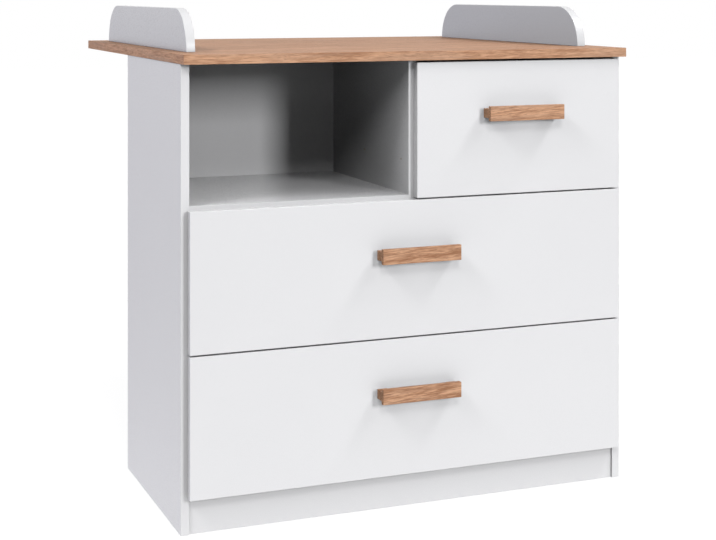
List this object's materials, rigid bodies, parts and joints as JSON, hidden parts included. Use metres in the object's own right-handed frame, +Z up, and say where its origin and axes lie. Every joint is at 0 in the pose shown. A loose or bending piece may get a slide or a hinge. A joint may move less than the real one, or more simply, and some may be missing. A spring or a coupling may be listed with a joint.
{
  "type": "changing dresser",
  "caption": "White nursery dresser with an open compartment, drawers on ball runners and a deep oak-look changing top between two rounded guard rails.",
  "frame": {"origin": "on the floor, under the middle of the whole dresser's width and depth", "axes": "+X to the right seen from the front, +Y from the front to the back, +Z up"},
  "size_m": [0.927, 0.822, 0.956],
  "materials": {
    "oak_look": "oak-look laminate, satin",
    "white_board": "white melamine-faced board, satin",
    "white_hardboard": "white lacquered hardboard",
    "beech": "fluted beech",
    "zinc_steel": "bright zinc-plated steel",
    "zinc_cast": "die-cast zinc"
  },
  "bodies": {
    "dresser": {"back_panel": "white_hardboard", "bottom_panel": "white_board", "carcass_cam_fittings": "zinc_cast", "carcass_dowels": "beech", "changing_top": "oak_look", "divider_panel": "white_board", "left_guard_rail": "white_board", "left_side_panel": "white_board", "lower_drawer_left_cabinet_runner": "zinc_steel", "lower_drawer_right_cabinet_runner": "zinc_steel", "middle_drawer_left_cabinet_runner": "zinc_steel", "middle_drawer_right_cabinet_runner": "zinc_steel", "middle_shelf": "white_board", "plinth_board": "white_board", "rail_screws": "zinc_steel", "right_guard_rail": "white_board", "right_side_panel": "white_board", "runner_screws": "zinc_steel", "upper_drawer_left_cabinet_runner": "zinc_steel", "upper_drawer_right_cabinet_runner": "zinc_steel"},
    "lower_drawer": {"lower_drawer_back": "white_board", "lower_drawer_bottom": "white_hardboard", "lower_drawer_box_screws": "zinc_steel", "lower_drawer_cam_fittings": "zinc_cast", "lower_drawer_front": "white_board", "lower_drawer_handle": "oak_look", "lower_drawer_handle_screws": "zinc_steel", "lower_drawer_left_drawer_runner": "zinc_steel", "lower_drawer_left_side": "white_board", "lower_drawer_right_drawer_runner": "zinc_steel", "lower_drawer_right_side": "white_board", "lower_drawer_runner_screws": "zinc_steel"},
    "lower_ball_cages": {"lower_drawer_ball_cages": "zinc_steel"},
    "middle_drawer": {"middle_drawer_back": "white_board", "middle_drawer_bottom": "white_hardboard", "middle_drawer_box_screws": "zinc_steel", "middle_drawer_cam_fittings": "zinc_cast", "middle_drawer_front": "white_board", "middle_drawer_handle": "oak_look", "middle_drawer_handle_screws": "zinc_steel", "middle_drawer_left_drawer_runner": "zinc_steel", "middle_drawer_left_side": "white_board", "middle_drawer_right_drawer_runner": "zinc_steel", "middle_drawer_right_side": "white_board", "middle_drawer_runner_screws": "zinc_steel"},
    "middle_ball_cages": {"middle_drawer_ball_cages": "zinc_steel"},
    "upper_drawer": {"upper_drawer_back": "white_board", "upper_drawer_bottom": "white_hardboard", "upper_drawer_box_screws": "zinc_steel", "upper_drawer_cam_fittings": "zinc_cast", "upper_drawer_front": "white_board", "upper_drawer_handle": "oak_look", "upper_drawer_handle_screws": "zinc_steel", "upper_drawer_left_drawer_runner": "zinc_steel", "upper_drawer_left_side": "white_board", "upper_drawer_right_drawer_runner": "zinc_steel", "upper_drawer_right_side": "white_board", "upper_drawer_runner_screws": "zinc_steel"},
    "upper_ball_cages": {"upper_drawer_ball_cages": "zinc_steel"}
  },
  "joints": [
    {"name": "lower_drawer_slide", "type": "slide", "parent": "dresser", "child": "lower_drawer", "axis": [0, -1, 0], "range_m": [0, 0.26]},
    {"name": "lower_ball_cage_slide", "type": "slide", "parent": "dresser", "child": "lower_ball_cages", "axis": [0, -1, 0], "range_m": [0, 0.13]},
    {"name": "middle_drawer_slide", "type": "slide", "parent": "dresser", "child": "middle_drawer", "axis": [0, -1, 0], "range_m": [0, 0.26]},
    {"name": "middle_ball_cage_slide", "type": "slide", "parent": "dresser", "child": "middle_ball_cages", "axis": [0, -1, 0], "range_m": [0, 0.13]},
    {"name": "upper_drawer_slide", "type": "slide", "parent": "dresser", "child": "upper_drawer", "axis": [0, -1, 0], "range_m": [0, 0.26]},
    {"name": "upper_ball_cage_slide", "type": "slide", "parent": "dresser", "child": "upper_ball_cages", "axis": [0, -1, 0], "range_m": [0, 0.13]}
  ],
  "couplings": [
    {"joint": "lower_ball_cage_slide", "follows": "lower_drawer_slide", "ratio": 0.5},
    {"joint": "middle_ball_cage_slide", "follows": "middle_drawer_slide", "ratio": 0.5},
    {"joint": "upper_ball_cage_slide", "follows": "upper_drawer_slide", "ratio": 0.5}
  ]
}
